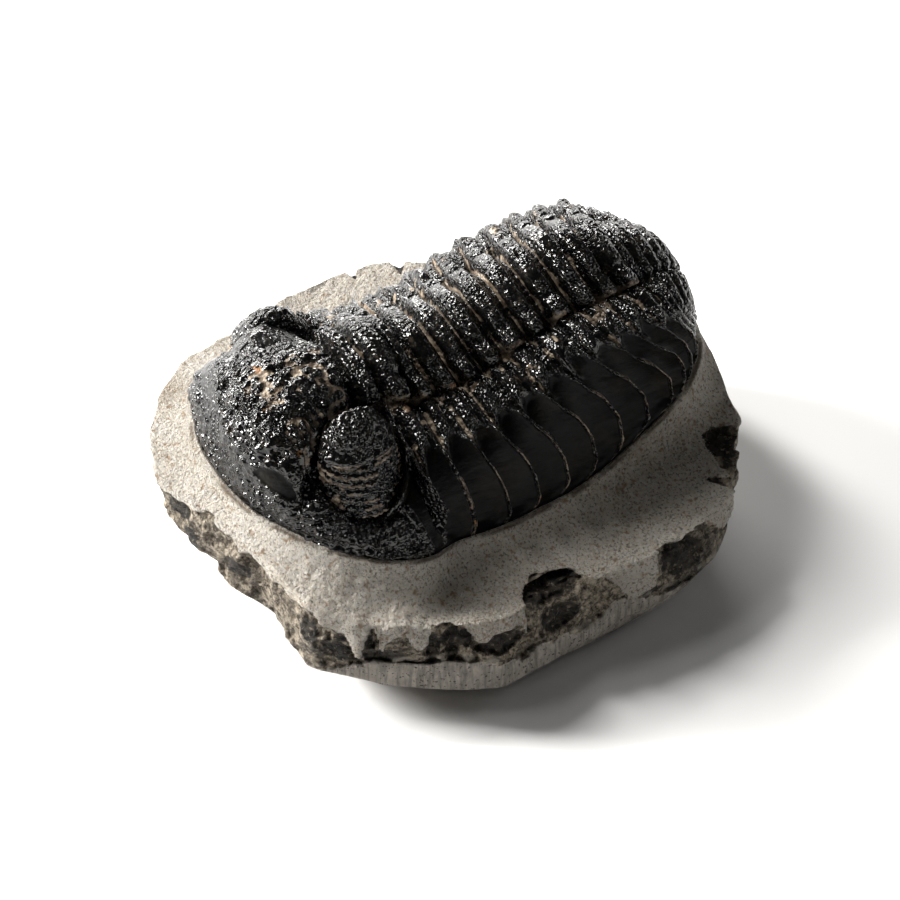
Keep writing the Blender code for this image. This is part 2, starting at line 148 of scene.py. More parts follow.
# Eye: rings from the buried foot to the top, each (z, middle t, half length along s, half width along t)
EYE_MIDDLE_S = 14.5
EYE_RINGS = np.array((
    (-4, 11.6, 4.6, 4.2),
    (-1.8, 11.8, 5, 4.7),
    (1, 11.7, 5, 4.4),
    (3.6, 11.4, 4.9, 3.9),
    (5.8, 11.1, 4.7, 3.3),
    (7.3, 10.8, 4.2, 2.8),
    (8.6, 10.5, 3.4, 2.2),
    (9.7, 10.2, 2, 1.3),
    (10.2, 10.1, 0.25, 0.2),
))

# Each eye: name, side, share of the full length, and flattening of its inner face
EYES = (
    ("left_eye", 1.0, 1.0, 0.35),
    ("right_eye", -1.0, 0.86, 0.1),
)

# Lenses: pitch of the rows and within a row, height, bow of a row, and radius of the arc that they lie on
LENS_ROW_PITCH = 1.08
LENS_PITCH = 1.05
LENS_RISE = 0.5
LENS_BOW = 0.88
LENS_FACE_RADIUS = 4.6

# Slab rim, one row per point around it: t, s and height of the top edge, then how far outside the edge the
# wall's foot lies and its height, and last how far inside the edge the base ends
RIM = np.array((
    (31.2, 32, -12, 1, -22, 2),
    (31.6, 40.4, -12, 0.3, -20.6, 2.5),
    (30.8, 48, -12, 1.4, -19.6, 3),
    (29.4, 55.2, -12, 0.9, -18.5, 4),
    (26.8, 60, -11.8, -0.4, -18, 5.5),
    (22.6, 64, -11.3, -1.2, -18, 6.5),
    (18.4, 66.6, -11, -1.2, -18, 7),
    (12.4, 67.8, -10, -1, -18, 7),
    (5.5, 68.2, -9.3, -1, -17.5, 7),
    (0, 69.6, -8.2, -0.8, -17, 7),
    (-14, 66, -9, -0.5, -18, 6),
    (-23.5, 54, -11.2, 0, -19, 5),
    (-29.6, 43.5, -10.8, 0, -20, 5),
    (-31.2, 35.5, -10.6, 0, -20, 5),
    (-30.6, 28.5, -10.2, 0, -19, 6),
    (-27, 19.2, -9, -0.5, -18, 7),
    (-24.8, 10.5, -7.5, -1, -16, 9),
    (-19.2, 3.4, -6, -1.5, -12.5, 11),
    (-12.2, -1.6, -5.2, -1.5, -10, 13),
    (-5, -4.8, -5.2, -0.6, -9.5, 14),
    (1, -3.4, -5.8, 0.8, -10.8, 13.5),
    (4, -2.2, -6.4, 0.2, -11.8, 12.8),
    (7, -1, -7, 1.5, -13.6, 12),
    (10, 0, -7.5, 0.4, -14.8, 10.8),
    (13, 1, -8, -0.6, -16, 9.5),
    (16.5, 1.4, -8.6, 1, -16.8, 9),
    (20, 2.6, -9, 1.2, -18.5, 8.5),
    (25, 7.5, -11, 0.2, -20, 7),
    (28.2, 15, -12, 1, -22, 4.5),
    (31, 23, -12, 1.8, -22.6, 2.5),
))

# Band of broken rock on the wall: direction round the slab's middle in degrees, then where the rock starts
# and where it ends, in millimetres down from the rim's edge; a start below 0 lies on top of the slab
ROCK_BAND = np.array((
    (-176, 2, 6.5), (-160, 3.4, 6), (-146, 1, 6.5), (-130, 2.6, 7), (-116, 0.8, 8),
    (-104, 0.6, 12), (-94, 0, 14), (-88.5, 0.3, 14), (-86, -1.2, 14), (-81, -0.9, 14),
    (-78.2, -0.6, 14), (-75.8, 0.6, 14), (-73, -0.2, 14), (-69.8, 0.5, 13), (-63.3, 0.8, 12),
    (-56, 0.8, 10), (-54.3, 1.8, 9.4), (-49.7, 1.8, 7.8), (-48.5, 2.7, 7.4), (-47.2, 5.2, 6.2),
    (-46.2, 4.8, 5.8), (-45.5, 2, 5.4), (-44, -0.6, 5), (-43.3, 0.6, 5), (-42, 3.2, 5),
    (-40.5, 1.6, 5.2), (-37.2, 0.7, 5.3), (-36, 2.3, 5.3), (-34.8, 3.2, 5.4), (-33, 2.4, 5.4),
    (-32.3, -0.2, 5.4), (-28, -0.2, 5.2), (-26, 0, 5.5), (-24.5, 1, 5.7), (-22.7, 2.6, 5.9),
    (-20.5, 3, 6.2), (-18.8, 2.1, 6.4), (-14.3, 1.5, 7), (-12, 2.5, 7), (-11.1, 3.8, 6.9),
    (-10.6, -1.5, 6.8), (-8.2, -3.9, 6.5), (-5.5, -4.4, 6.5), (-1.5, -4.2, 7.2), (2, -4.1, 7.8),
    (4.8, -3.6, 7.5), (5.7, -0.8, 7.3), (9, 0.2, 5.9), (11.3, 1.6, 5.4), (12.5, 2.9, 5.3),
    (14, 4.3, 5.5), (15.8, 5.6, 5.7), (18.5, 5.3, 6.2), (20.8, 5.1, 6.7), (21.8, 2, 6.9),
    (22.6, 0, 7), (30.5, -0.2, 7.3), (35, 0.1, 7), (38, 2.6, 6.6), (41, 4, 6.4),
    (43.5, 2, 6.2), (45.4, -1, 6.2), (46.4, -3.6, 6.2), (47.4, -3.4, 6.2), (48.2, -0.8, 6),
    (50, -2.2, 6), (53, -3.3, 6), (55, -4.3, 6), (58, -5, 6), (60.3, -4, 6),
    (61.5, 0, 6), (66, 2.4, 6), (76, 0.8, 6.5), (88, 3, 6), (100, 0.6, 6.5),
    (113, 2.8, 6), (126, 0.8, 6.5), (140, 2.6, 6), (152, 1.2, 6.2), (157.5, 0.8, 6.2),
    (159.5, -2, 6.2), (162, 1, 6.2), (169, 1.4, 6.2), (171, -1.8, 6.2), (173.5, 1.2, 6.4),
))

# Dark scoops in that rock: direction in degrees, middle in millimetres down from the rim's edge, half width
# along the rim, half height, and depth
SCOOPS = (
    (-92, 1.2, 2.2, 1.6, 0.5),
    (-88, 4.2, 1.8, 1.6, 0.4),
    (-77, 3.4, 2.4, 1.4, 0.4),
    (-57, 3.6, 1.5, 2.2, 0.3),
    (-50.5, 5.2, 2.4, 1.8, 0.3),
    (-44.6, 2.6, 0.8, 3.2, 1.1),
    (-40.2, 3.8, 2.4, 1.5, 0.6),
    (-31.8, 2.8, 0.9, 3.2, 1),
    (-28, 2.4, 1.2, 3.2, 1.1),
    (-25, 1.8, 1.1, 1.4, 0.7),
    (-17, 3.6, 3.4, 1.8, 1),
    (-3, -1.4, 4.8, 2.8, 1.7),
    (-2, 3.6, 3.4, 2.4, 0.8),
    (20.6, 5.6, 1.6, 0.7, 0.4),
    (28.5, 2.6, 3.6, 3, 1.1),
    (46.8, -2.4, 0.4, 1.6, 0.4),
    (56.5, -2, 2.6, 2.6, 0.8),
    (101, 3, 3.4, 2.4, 0.8),
    (127, 3, 3.4, 2, 0.8),
    (160, -0.4, 1.6, 1.5, 0.6),
    (171, 0, 1.4, 1.4, 0.6),
    (-146, 3.2, 3.4, 2, 0.8),
)

# Direction in which the rock is worn in: this much down for 1 inward
ROCK_DOWNWARD = 0.7

# Top of the slab: its innermost ring, the bed under the fossil, the lip round it, a narrow ledge, the groove
# beyond the ledge and the shallow hollow towards the rim
HUB_RADIUS = 0.3
BED_HEIGHT = -9.0
LIP = 0.35
LEDGE_WIDTH = 0.7
LEDGE_FALL = 0.2
GROOVE_WIDTH = 0.5
GROOVE_DEPTH = 0.9
HOLLOW_DEPTH = 0.7
HOLLOW_REACH = 2.4

# Mesh rows and columns
HEAD_ROWS = 220
HEAD_COLUMNS = 380
THORAX_COLUMNS = 320
TAIL_ROWS = 130
TAIL_COLUMNS = 330
UNDERSIDE_COLUMNS = 15
EYE_LEVELS = 170
EYE_COLUMNS = 300
SHELF_RINGS = 15
SLAB_COLUMNS = 740

# Colours of the shell and of the stone left in its furrows, as red, green and blue; pairs are mottled
SHELL_BLACKS = ((0.0016, 0.0016, 0.0017), (0.006, 0.0058, 0.0056))
WORN_BLACKS = ((0.003, 0.003, 0.0032), (0.009, 0.0088, 0.0086))
DUST = (0.075, 0.06, 0.042)
# Grey film for half worn shell: partly dust, partly a painted sheen on the frontal lobe's front and far top
GREY_FILM_AND_SHEEN = (0.06, 0.06, 0.062)
OLIVE = (0.016, 0.014, 0.009)
BROWNS = ((0.11, 0.078, 0.05), (0.37, 0.3, 0.22))
RUST = (0.27, 0.12, 0.04)

# Colours of the limestone: tooled top, ground wall and broken rock, and of the floor
CREAMS = ((0.72, 0.635, 0.52), (0.96, 0.885, 0.78))
CHALK = (0.93, 0.89, 0.82)
DARK_GRAIN = (0.21, 0.165, 0.115)
AMBER = (0.4, 0.25, 0.13)
STAIN = (0.36, 0.27, 0.18)
LEDGE_BROWN = (0.2, 0.145, 0.095)
WALL_GREYS = ((0.52, 0.47, 0.41), (0.8, 0.73, 0.65))
STREAK_GREY = (0.2, 0.18, 0.155)
WALL_PIT = (0.09, 0.08, 0.07)
ROCK_BROWNS = ((0.1, 0.077, 0.052), (0.72, 0.62, 0.48))
SCOOP_BLACKS = ((0.014, 0.012, 0.01), (0.1, 0.082, 0.058))
SPECKLE = (0.42, 0.35, 0.26)
CHIP = (0.7, 0.64, 0.55)
FLOOR_WHITES = ((0.9, 0.9, 0.9), (0.92, 0.92, 0.92))

# Depth of the bumps in metres, and directions of the tool strokes in degrees
SHELL_BUMP = 0.0005
FINE_SHELL_BUMP = 0.00007
SCRATCH_BUMP = 0.0002
STONE_BUMP = 0.0018
STROKE_DIRECTIONS = (25.0, -50.0, 80.0)

# Camera: where it looks in the animal's millimetres, from which side, and how wide
CAMERA_AIM = (8.8, 29.3, -5.0)
CAMERA_AZIMUTH = 59.5
CAMERA_ELEVATION = 45.0
CAMERA_DISTANCE = 0.75
CAMERA_LENS = 240.0

# Soft lamps: name, azimuth and elevation in degrees, width and height in metres, and power in watts
LAMPS = (
    ("low_key", -43.0, 23.0, 0.28, 0.42, 39.0),
    ("high_key", -66.0, 49.0, 0.2, 0.4, 14.0),
    ("behind", -104.0, 13.0, 0.6, 0.2, 13.0),
    ("front_fill", -40.0, 62.0, 0.3, 0.2, 1.4),
    ("right_fill", 165.0, 28.0, 0.5, 0.5, 1.2),
)
LAMP_COLOUR = (1.0, 0.985, 0.96)
LAMP_DISTANCE = 1.2
WORLD_STRENGTH = 0.03
FLOOR_HALF = 3.0


def place(s, t, z):
    """World position in metres of points given in the animal's millimetres."""
    return np.stack((t - ORIGIN_T, s - ORIGIN_S, z - SLAB_BOTTOM), axis=-1) * MM


def rise(low, high, x):
    """0 up to low, 1 from high on, and a smooth rise between."""
    share = np.clip((x - low) / (high - low), 0, 1)
    return share * share * (3 - 2 * share)


def fall(low, high, x):
    """1 up to low, 0 from high on, and a smooth fall between."""
    return 1 - rise(low, high, x)


def band(x, middle, half_width):
    """1 at the middle, falling smoothly to 0 at half_width to either side."""
    return fall(0, half_width, np.abs(x - middle))


def hump(x, middle, half_width):
    """Parabola: 1 at the middle, and 0 from half_width on to either side."""
    return np.clip(1 - ((x - middle) / half_width) ** 2, 0, 1)


def through_rows(rows, x):
    """Smooth curve through evenly numbered rows, read at the row numbers x."""
    start = np.clip(np.floor(x).astype(int), 0, len(rows) - 2)
    share = (x - start)[..., None]
    before = rows[np.maximum(start - 1, 0)]
    here = rows[start]
    after = rows[start + 1]
    beyond = rows[np.minimum(start + 2, len(rows) - 1)]
    slope_here = (after - before) / 2
    slope_after = (beyond - here) / 2
    return (here * (1 + 2 * share) * (1 - share) ** 2 + slope_here * share * (1 - share) ** 2
            + after * share ** 2 * (3 - 2 * share) + slope_after * share ** 2 * (share - 1))


# Noise

CELL_PRIMES = np.array((73856093, 19349663, 83492791), dtype=np.int64)
SEED_FACTOR = 974711
HASH_STEPS = ((15, 739391), (13, 277803737), (16, 1))
LOW_32_BITS = 0xFFFFFFFF
CORNERS = np.indices((2, 2, 2)).reshape(3, -1).T
NEIGHBOURS = np.indices((3, 3, 3)).reshape(3, -1).T - 1

# Lumps, one in each cell: how far in their middles stay, their radius squared and their least height
LUMP_INSET = 0.1
LUMP_RADIUS_SQUARED = 0.45
LOWEST_LUMP = 0.35


def cell_random(cells, seed):
    """A number from 0 to 1 for each whole-numbered cell, the same in every run."""
    mixed = ((cells * CELL_PRIMES).sum(axis=-1) + seed * SEED_FACTOR) & LOW_32_BITS
    for shift, factor in HASH_STEPS:
        mixed = ((mixed ^ (mixed >> shift)) * factor) & LOW_32_BITS
    return mixed / LOW_32_BITS


def noise(points, size, seed):
    """Smooth noise from -1 to 1 with features of a size in millimetres."""
    scaled = points / size
    cells = np.floor(scaled).astype(np.int64)
    share = scaled - cells
    share = share * share * (3 - 2 * share)
    total = np.zeros(points.shape[:-1])
    for corner in CORNERS:
        weight = np.where(corner == 1, share, 1 - share).prod(axis=-1)
        total += weight * cell_random(cells + corner, seed)
    return 2 * total - 1


def patches(points, size, seed, low, high):
    """Patches of noise: 0 where it is under low and 1 where it is over high."""
    return rise(low, high, noise(points, size, seed))


def rough(points, size, seed):
    """Noise with three sizes of feature, each half the last."""
    return (noise(points, size, seed) + 0.5 * noise(points, size / 2, seed + 1)
            + 0.25 * noise(points, size / 4, seed + 2)) / 1.75


def ridges(points, size, seed):
    """Noise with sharp crests, from 0 to 1."""
    return 1 - np.abs(noise(points, size, seed))


def lumps(points, spacing, seed):
    """Round lumps of uneven height at a spacing in millimetres: 0 between them and up to 1 on top."""
    scaled = points / spacing
    cells = np.floor(scaled).astype(np.int64)
    highest = np.zeros(points.shape[:-1])
    for neighbour in NEIGHBOURS:
        other = cells + neighbour
        jitter = np.stack([cell_random(other, seed + axis) for axis in range(3)], axis=-1)
        gap = scaled - other - LUMP_INSET - (1 - 2 * LUMP_INSET) * jitter
        top = LOWEST_LUMP + (1 - LOWEST_LUMP) * jitter[..., 0]
        dome = np.clip(1 - (gap * gap).sum(axis=-1) / LUMP_RADIUS_SQUARED, 0, 1)
        highest = np.maximum(highest, top * dome)
    return highest


# The smooth back and its rows

def flank_curve(share, handles):
    """Cubic curve from 0 to 1 with the two given handle heights between."""
    rest = 1 - share
    return 3 * handles[0] * rest * rest * share + 3 * handles[1] * rest * share * share + share ** 3


def smooth_back(station, across):
    """Point of the back without its relief: across runs from -1 at one margin to 1 at the other."""
    (crest_s, crest_z, furrow_s, furrow_t, furrow_z, shoulder_s, shoulder_t, shoulder_z,
     margin_s, margin_t, margin_z) = np.moveaxis(through_rows(STATIONS, station), -1, 0)
    side = np.abs(across)

    lobe = np.clip(side / FURROW_AT, 0, 1)
    fullness = 1 + HEAD_FULLNESS * fall(NECK_FURROW - 0.5, SECOND_JOINT, station)
    dome = np.cos(0.5 * math.pi * lobe ** fullness)
    s = crest_s + (furrow_s - crest_s) * lobe ** 2
    t = furrow_t * lobe
    z = furrow_z + (crest_z - furrow_z) * dome

    inner = np.clip((side - FURROW_AT) / (SHOULDER_AT - FURROW_AT), 0, 1)
    s = s + (shoulder_s - furrow_s) * inner
    t = t + (shoulder_t - furrow_t) * inner
    z = z + (shoulder_z - furrow_z) * inner + INNER_ARCH * np.sin(math.pi * inner)

    outer = np.clip((side - SHOULDER_AT) / (1 - SHOULDER_AT), 0, 1)
    s = s + (margin_s - shoulder_s) * outer
    t = t + (margin_t - shoulder_t) * flank_curve(outer, FLANK_REACH)
    z = z + (margin_z - shoulder_z) * flank_curve(outer, FLANK_DROP)
    return np.stack((s, t * np.sign(across), z), axis=-1)


def unit(directions):
    """Directions at length 1."""
    return directions / np.maximum(np.linalg.norm(directions, axis=-1, keepdims=True), 1e-9)


def outward(station, across):
    """Unit direction that points away from the body at a place on the back."""
    step = 0.02
    along = smooth_back(station + step, across) - smooth_back(station - step, across)
    left = smooth_back(station, np.maximum(across - step, -1))
    right = smooth_back(station, np.minimum(across + step, 1))
    return -unit(np.cross(right - left, along))


def segments_passed(row):
    """Segments behind the head up to a row: 0 at the first joint and then 1 more at each."""
    each = (LAST_JOINT - SECOND_JOINT) / (SEGMENTS - 1)
    return np.where(row > SECOND_JOINT, 1 + (row - SECOND_JOINT) / each,
                    (row - FIRST_JOINT) / (SECOND_JOINT - FIRST_JOINT))


def swept_station(row, side):
    """Station that a row has reached at a share of the half width."""
    most = np.minimum(SWEEP_FIRST + SWEEP_STEP * np.maximum(segments_passed(row), 0), SWEEP_MOST)
    in_head = rise(FIRST_JOINT - SWEEP_LEAD, FIRST_JOINT, row)
    in_tail = 1 - np.clip((row - LAST_JOINT) / (TAIL_TIP - LAST_JOINT), 0, 1)
    in_rings = rise(NECK_FURROW, FIRST_JOINT, row) * in_tail
    arch = RING_ARCH * hump(side, 0, FURROW_AT) * in_rings
    return row - arch + np.interp(side, SWEEP[:, 0], SWEEP[:, 1]) * most * in_head * in_tail


# Relief of the back. The functions for thorax, tail and head return the height in millimetres, the share of
# brown stone left in the furrows, and how worn the shell is there.

def granules(at, seed):
    """Fine grain of the shell in millimetres, above and below 0."""
    strength = 0.6 + 0.5 * noise(at, 4, seed + 13)
    grain = 0.24 * lumps(at, 0.9, seed) + 0.2 * ridges(at, 1, seed + 5)
    grain = grain + 0.16 * ridges(at, 0.55, seed + 7)
    return strength * (grain - 0.3) + 0.16 * rough(at, 2.2, seed + 11)


def ring_node(side, along, middle, half_length):
    """Height of the round node near each end of a ring."""
    reach = ((side - NODE_SIDE) / NODE_HALF_WIDTH) ** 2 + ((along - middle) / half_length) ** 2
    return NODE_RISE * np.clip(1 - reach, 0, 1) ** 0.6


def thorax_relief(row, side, at):
    phase = segments_passed(row) % 1
    wander = 0.02 * noise(at, 2.4, 31)
    on_lobe = fall(0.335, 0.375, side + wander)
    crescent = 0.07 * np.sin(math.pi * np.clip((phase - 0.08) / 0.84, 0, 1)) - 0.03
    on_facet = rise(0.6, 0.7, side + crescent + 1.5 * wander)
    on_rim = rise(0.87, 0.9, phase)

    # Axial ring, with a dip inside the node at each end
    uneven = 0.2 * rough(at, 5, 33)
    ring = (RING_RISE + uneven) * rise(-0.02, 0.27, phase) ** 0.8 * fall(0.64, 0.95, phase)
    dip = 0.35 * band(side, 0.225, 0.03) * rise(0.05, 0.3, phase) * fall(0.7, 0.95, phase)
    ring = ring + ring_node(side, phase, 0.5, 0.42) - dip

    # Inner part of the side plate, with two knobby ribs
    knobs = 0.8 + 0.2 * noise(at, 1.5, 36)
    front_rib = (RIB_RISE + uneven) * knobs * hump(phase, 0.36, 0.34) ** 0.6
    rear_rib = REAR_RIB_RISE * knobs * hump(phase, 0.84, 0.14) ** 0.6

    # Outer part, a smooth facet with a thin raised rim along its back
    drop = rise(0.965, 0.995, phase)
    rim = (RIM_RISE + 0.22 * noise(at, 1.1, 35)) * band(phase, 0.925, 0.055)
    dished = 0.25 * np.sin(math.pi * np.clip(phase / 0.88, 0, 1))
    facet = (FACET_FRONT + FACET_RISE * phase - dished + rim) * (1 - drop) + FACET_FRONT * drop

    plate = np.maximum(front_rib, rear_rib) * (1 - on_facet) + facet * on_facet
    height = ring * on_lobe + plate * (1 - on_lobe)
    on_ribs = rise(0.38, 0.42, side) * (1 - on_facet)
    height = height + granules(at, 50) * (1 - 0.65 * on_ribs - 0.95 * on_facet * (1 - 0.5 * on_rim))

    # Brown stone in the joints, beside the lobe, in crumbs on the ribs and along the rim
    width = 0.03 + 0.045 * noise(at, 1.6, 63)
    in_joint = np.maximum(fall(width, width + 0.05, phase), rise(0.975, 0.995, phase))
    patchy = rise(-0.6, 0.1, noise(at, 3.6, 60) + 0.5 * noise(at, 0.9, 61))
    rim_line = np.maximum(0.6 * band(phase, 0.925, 0.05), band(phase, 0.98, 0.035))
    residue = np.maximum.reduce((
        0.9 * in_joint * (1 - on_facet) * patchy,
        0.85 * band(side, FURROW_AT, 0.08) * patches(at, 1.7, 64, -0.05, 0.35),
        0.7 * band(side, 0.46, 0.16) * patches(at, 0.9, 66, 0.3, 0.55),
        rim_line * rise(0.72, 0.8, side) * patches(at, 2, 62, -0.7, 0),
    ))
    return height, residue, on_facet * (1 - on_rim)


def tail_relief(row, side, at):
    share = np.clip((row - LAST_JOINT) / (TAIL_TIP - LAST_JOINT), 0, 1)
    phase = TAIL_RINGS * share ** 0.85 % 1
    fade = fall(0.6, 0.86, share)
    on_lobe = fall(0.31, 0.37, side)
    ring = TAIL_RISE * (1 - np.abs(2 * phase - 1) ** 3)
    rib = np.maximum(TAIL_RISE * hump(phase, 0.4, 0.4) ** 0.7, 0.4 * hump(phase, 0.9, 0.1))
    to_margin = 1 - 0.75 * rise(0.8, 0.97, side)
    height = (ring * on_lobe + rib * (1 - on_lobe) * to_margin) * fade - 0.1
    in_joint = fall(0.03, 0.12, np.minimum(phase, 1 - phase))
    residue = in_joint * patches(at, 2.6, 161, 0, 0.6) * fade * 0.6
    return height + 0.8 * granules(at, 150), residue, np.zeros_like(height)


def back_of_head(row, side, at):
    """Height of the neck ring and its furrow, and of the furrow, ridge and seam on the cheek."""
    neck_furrow = -NECK_FURROW_DEPTH * band(row, NECK_FURROW, 0.25) * fall(0.3, 0.42, side)
    neck_ring = rise(NECK_FURROW, 7.15, row) * fall(7.65, FIRST_JOINT, row)
    neck_ring = NECK_RING_RISE * neck_ring * fall(0.33, 0.38, side) + ring_node(side, row, 7.4, 0.36)
    on_cheek = rise(0.34, 0.4, side) * fall(0.86, 0.94, side)
    furrow = -0.8 * band(row, 7.4, 0.2) * on_cheek
    ridge = CHEEK_RIDGE_RISE * band(row, 7.66, 0.15) * on_cheek * (1 + 0.6 * lumps(at, 1.1, 190))
    seam = 0.4 * band(row - 6.55 - 3 * (side - 0.74) ** 2, 0, 0.06) * rise(0.58, 0.62, side)
    return neck_furrow + neck_ring + furrow + ridge + seam * fall(0.88, 0.95, side)


def round_the_eyes(at):
    """Height of the ridge behind each eye, the hollow outside it and the filled step at the far one."""
    s, t = at[..., 0], at[..., 1]
    behind = (s - EYE_MIDDLE_S) / 5.2
    outer = (np.abs(t) - 11.8) / 4.9
    from_eye = np.hypot(behind, outer)
    ridge = EYE_RIDGE_RISE * band(from_eye, 1.14, 0.12) * rise(0.05, 0.5, behind)
    hollow = -EYE_HOLLOW_DEPTH * band(from_eye, 0.95, 0.5) * rise(-0.1, 0.5, outer)
    from_far_eye = np.hypot((s - 14.2) / 6, (t + 8.3) / 3.3)
    step = FAR_STEP_RISE * fall(0.35, 1.15, from_far_eye)
    return ridge + hollow * fall(0.2, 0.8, behind) + step


def worn_places(row, across, at):
    """Wear of the frontal lobe's front, of the cheek behind the eye and of a lens-shaped scar."""
    front_row = 2.7 - 4 * np.minimum(across, 0)
    front = fall(0.25, 0.5, np.abs(row - front_row)) * fall(0, 0.06, across)
    front = front * rise(-0.34, -0.28, across)
    cheek = rise(6.7, 6.85, row) * fall(7.34, 7.42, row) * rise(0.52, 0.6, np.abs(across))
    scar_row = (row - 3.1) / 0.5
    scar_across = (across - 0.283) / 0.07
    reach = ((scar_row + scar_across) / 1.9) ** 2 + ((scar_row - scar_across) / 0.8) ** 2
    scar = fall(0.45, 1.1, reach + 0.25 * noise(at, 0.9, 215))
    return front, cheek, scar


def frontal_lobe(row, across, at, frontal, far_top):
    """Height and brown stone of knobs, coarse behind and crumpled in front, and of folds by the eye."""
    behind = rise(3.9, 4.6, row)
    tubercles = lumps(at, 1.35, 200)
    crumpled = 0.5 * ridges(at, 1.3, 205) + 0.3 * ridges(at, 0.6, 206)
    knobs = 0.75 * tubercles * (0.3 + 0.7 * behind) + crumpled * (1 - 0.5 * behind)
    knobs = knobs * (1 - 0.85 * far_top) + 0.15 * rough(at, 2.5, 210) - 0.3
    wrinkles = 0.25 * np.abs(noise(at * np.array((0.4, 1, 1)), 0.6, 220)) * far_top
    fold_place = band(across, 0.3, 0.09) * rise(3.9, 4.3, row) * fall(5.3, 5.8, row)
    folds = np.sin(at[..., 0] * 5.2 + 1.5 * noise(at, 1.6, 230)) * fold_place
    between = fall(0, 0.4, tubercles) * frontal * behind * (1 - far_top)
    in_folds = fold_place * fall(-0.2, 0.1, folds)
    residue = np.maximum(0.9 * between * patches(at, 2, 260, -0.4, 0.2),
                         0.8 * in_folds * patches(at, 1.8, 261, -0.5, 0.1))
    return frontal * (knobs + wrinkles + 0.3 * folds), residue


def head_relief(row, across, at):
    side = np.abs(across)
    on_lobe = fall(0.33, 0.38, side)
    frontal = on_lobe * rise(2.3, 2.8, row) * fall(6.4, 6.7, row)
    far_top = rise(3.6, 4.4, row) * fall(6.2, 6.7, row) * fall(-0.14, -0.02, across)
    front, cheek, scar = worn_places(row, across, at)
    calm = np.clip(front + cheek + scar, 0, 1)
    # The small wear on the frontal lobe's front and far top lays the grey film there, which paints a sheen
    worn = np.clip(np.maximum(cheek, scar) + 0.3 * np.maximum(front, far_top * on_lobe), 0, 1)

    knobs, in_knobs = frontal_lobe(row, across, at, frontal, far_top)
    beside_lobe = -1.1 * band(across, FURROW_AT + 0.02, 0.06) * rise(3, 4.4, row)
    border = 0.4 * band(side, 0.95, 0.08) * rise(1.5, 3, row)
    height = back_of_head(row, side, at) + round_the_eyes(at)
    height = height + beside_lobe * fall(6.6, 7.4, row) + border
    pits = (0.4 * lumps(at, 0.9, 250) + 0.3 * ridges(at, 1, 255) - 0.35) * (1 - frontal)
    height = height + (knobs + 0.8 * granules(at, 240) + pits) * (1 - 0.93 * calm)
    height = height * rise(0.25, 1.2, row) - SCAR_DEPTH * scar

    patchy = patches(at, 2, 260, -0.1, 0.4)
    residue = np.maximum.reduce((
        in_knobs,
        0.9 * band(row, NECK_FURROW, 0.12) * on_lobe * patchy,
        0.8 * band(row, FIRST_JOINT, 0.06) * fall(0.6, 0.8, side) * patchy,
        0.5 * band(side, FURROW_AT, 0.05) * rise(6.6, 7, row) * patchy,
    ))
    return height, residue * (1 - calm), worn


def body_surface(row, across):
    """Points of the shell in the animal's millimetres, with the brown stone and the wear there."""
    side = np.abs(across)
    station = np.minimum(swept_station(row, side), TAIL_TIP - END_INSET)
    base = smooth_back(station, across)
    head = head_relief(row, across, base)
    thorax = thorax_relief(row, side, base)
    tail = tail_relief(row, side, base)
    height, residue, worn = np.where(row < FIRST_JOINT, head, np.where(row > LAST_JOINT, tail, thorax))
    furrow = AXIAL_FURROW_DEPTH * band(side, FURROW_AT, 0.06) * rise(2, 4, row)
    fade = fall(0.965, 1, side)
    points = base + outward(station, across) * ((height - furrow) * fade)[..., None]
    return points, residue, worn


# Meshes

def new_object(name, data):
    """A new object in the scene."""
    thing = bpy.data.objects.new(name, data)
    bpy.context.scene.collection.objects.link(thing)
    return thing


def grid_faces(rows, columns):
    """Quads of a grid whose columns close round."""
    above = np.arange(rows - 1)[:, None] * columns
    ring = np.arange(columns)
    beside = (ring + 1) % columns
    corners = (above + ring, above + beside, above + columns + beside, above + columns + ring)
    return np.stack(corners, axis=-1).reshape(-1, 4)


def make_piece(name, points, fields, material, flip=False, worn_material=None):
    """Closed mesh from a grid of points in millimetres, with a cap on each end and fields for its material.
    Faces of the grid that are worn smooth take the worn material."""
    rows, columns = points.shape[:2]
    ends = np.stack((points[0].mean(axis=0), points[-1].mean(axis=0)))
    places = place(*np.vstack((points.reshape(-1, 3), ends)).T)
    quads = grid_faces(rows, columns)
    first, last = rows * columns, rows * columns + 1
    ring = np.arange(columns)
    beside = (ring + 1) % columns
    below = (rows - 1) * columns
    start = np.stack((beside, ring, np.full(columns, first)), axis=-1)
    end = np.stack((below + ring, below + beside, np.full(columns, last)), axis=-1)
    way = -1 if flip else 1
    faces = [face[::way] for part in (quads, start, end) for face in part.tolist()]
    mesh = bpy.data.meshes.new(name)
    mesh.from_pydata(places.tolist(), [], faces, shade_flat=False)
    for field, values in fields.items():
        attribute = mesh.attributes.new(field, "FLOAT", "POINT")
        whole = np.hstack((values.reshape(-1), (values[0].mean(), values[-1].mean())))
        attribute.data.foreach_set("value", whole.astype(np.float32))
    mesh.materials.append(material)
    if worn_material:
        mesh.materials.append(worn_material)
        worn_faces = np.zeros(len(mesh.polygons), dtype=np.int32)
        worn_faces[:len(quads)] = fields["worn"].reshape(-1)[quads].mean(axis=1) > 0.5
        mesh.polygons.foreach_set("material_index", worn_faces)
    mesh.update()
    return new_object(name, mesh)


def thorax_rows():
    """Rows of the thorax mesh, closest together along the back rim of each segment."""
    phases = np.hstack((np.linspace(0, 0.82, 16), np.linspace(0.838, 0.982, 10)))
    joints = np.hstack(((FIRST_JOINT,), np.linspace(SECOND_JOINT, LAST_JOINT, SEGMENTS)))
    rows = [start + (end - start) * phases for start, end in zip(joints, joints[1:])]
    return np.hstack((*rows, (LAST_JOINT,)))


